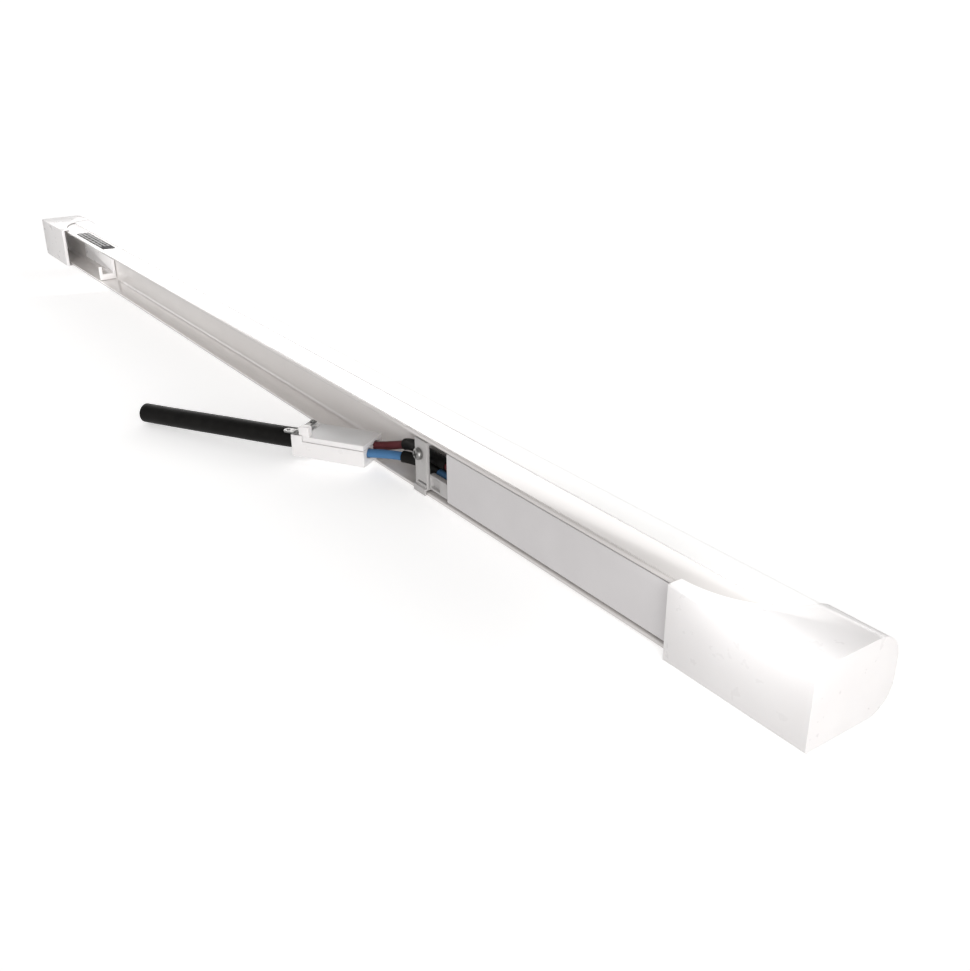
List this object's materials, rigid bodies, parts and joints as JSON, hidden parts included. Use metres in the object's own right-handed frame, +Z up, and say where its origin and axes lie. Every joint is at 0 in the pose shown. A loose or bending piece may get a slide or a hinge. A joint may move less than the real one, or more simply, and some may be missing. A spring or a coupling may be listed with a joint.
{
  "type": "led batten luminaire",
  "caption": "Slim linear LED light fitting with an opal cover, open wiring channel, scooped end caps and a terminal box on short leads.",
  "frame": {"origin": "centre of the underside of the batten, on the surface it lies on, cord pieces left out", "axes": "+X along the batten towards the driver end, +Y from the mounting side towards the light-emitting front, +Z up from the side it lies on"},
  "size_m": [0.6, 0.08, 0.0215],
  "materials": {
    "white_aluminium": "smooth gloss white coating",
    "opal_cover": "satin opal polycarbonate",
    "white_plastic": "moulded white, low sheen",
    "grey_plastic": "moulded light grey",
    "board_white": "white solder mask",
    "board_green": "green solder mask",
    "black_part": "black moulded epoxy",
    "ferrite": "matt grey ferrite",
    "winding": "yellow insulation tape",
    "fuse_tube": "glazed tube with metal ends",
    "capacitor_sleeve": "shrink sleeve, blue",
    "film_case": "dipped, red",
    "coil_copper": "enamelled copper",
    "steel": "bright zinc plate",
    "brass_terminal": "bright",
    "brown_insulation": "smooth, brown",
    "blue_insulation": "smooth, blue",
    "red_insulation": "smooth, red",
    "black_sleeve": "matt shrink sleeve",
    "cable_jacket": "matt black jacket",
    "label": "printed blocks, no text"
  },
  "bodies": {
    "batten": {"housing_channel": "white_aluminium", "diffuser": "opal_cover", "led_board": "board_white", "driver_case": "grey_plastic", "driver_cover": "grey_plastic", "driver_pcb": "board_green", "transformer_core": "ferrite", "transformer_winding": "winding", "input_fuse": "fuse_tube", "filter_choke": "ferrite", "bridge_rectifier": "black_part", "input_capacitor": "capacitor_sleeve", "film_capacitor": "film_case", "switching_ic": "black_part", "output_diode": "black_part", "output_capacitor": "capacitor_sleeve", "output_inductor": "coil_copper", "led_lead_negative": "black_sleeve", "led_lead_positive": "red_insulation", "cord_clamp_bridge": "grey_plastic", "cord_clamp_screw": "steel", "driver_retainer": "grey_plastic", "wire_saddle": "white_plastic", "rating_label": "label", "lead_brown": "brown_insulation", "lead_blue": "blue_insulation", "sleeve_brown": "black_sleeve", "sleeve_blue": "black_sleeve", "terminal_box_base": "white_plastic", "cable_strap": "steel", "cable_strap_screw_1": "steel", "cable_strap_screw_2": "steel", "terminal_blue": "brass_terminal", "terminal_brown": "brass_terminal", "terminal_screw_blue_1": "steel", "terminal_screw_blue_2": "steel", "terminal_screw_brown_1": "steel", "terminal_screw_brown_2": "steel", "supply_core_blue": "blue_insulation", "supply_core_brown": "brown_insulation", "supply_cable": "cable_jacket"},
    "far_cap": {"end_cap_far": "white_plastic"},
    "near_cap": {"end_cap_near": "white_plastic"},
    "box_lid": {"terminal_box_lid": "white_plastic"}
  },
  "joints": [
    {"name": "far_cap_pull", "type": "slide", "parent": "batten", "child": "far_cap", "axis": [-1, 0, 0], "range_m": [0, 0.046]},
    {"name": "near_cap_pull", "type": "slide", "parent": "batten", "child": "near_cap", "axis": [1, 0, 0], "range_m": [0, 0.046]},
    {"name": "box_lid_hinge", "type": "hinge", "parent": "batten", "child": "box_lid", "pos_m": [0.1154, -0.01885, 0.00825], "axis": [0.848, 0.5299, 0], "range_deg": [0, 105]}
  ]
}
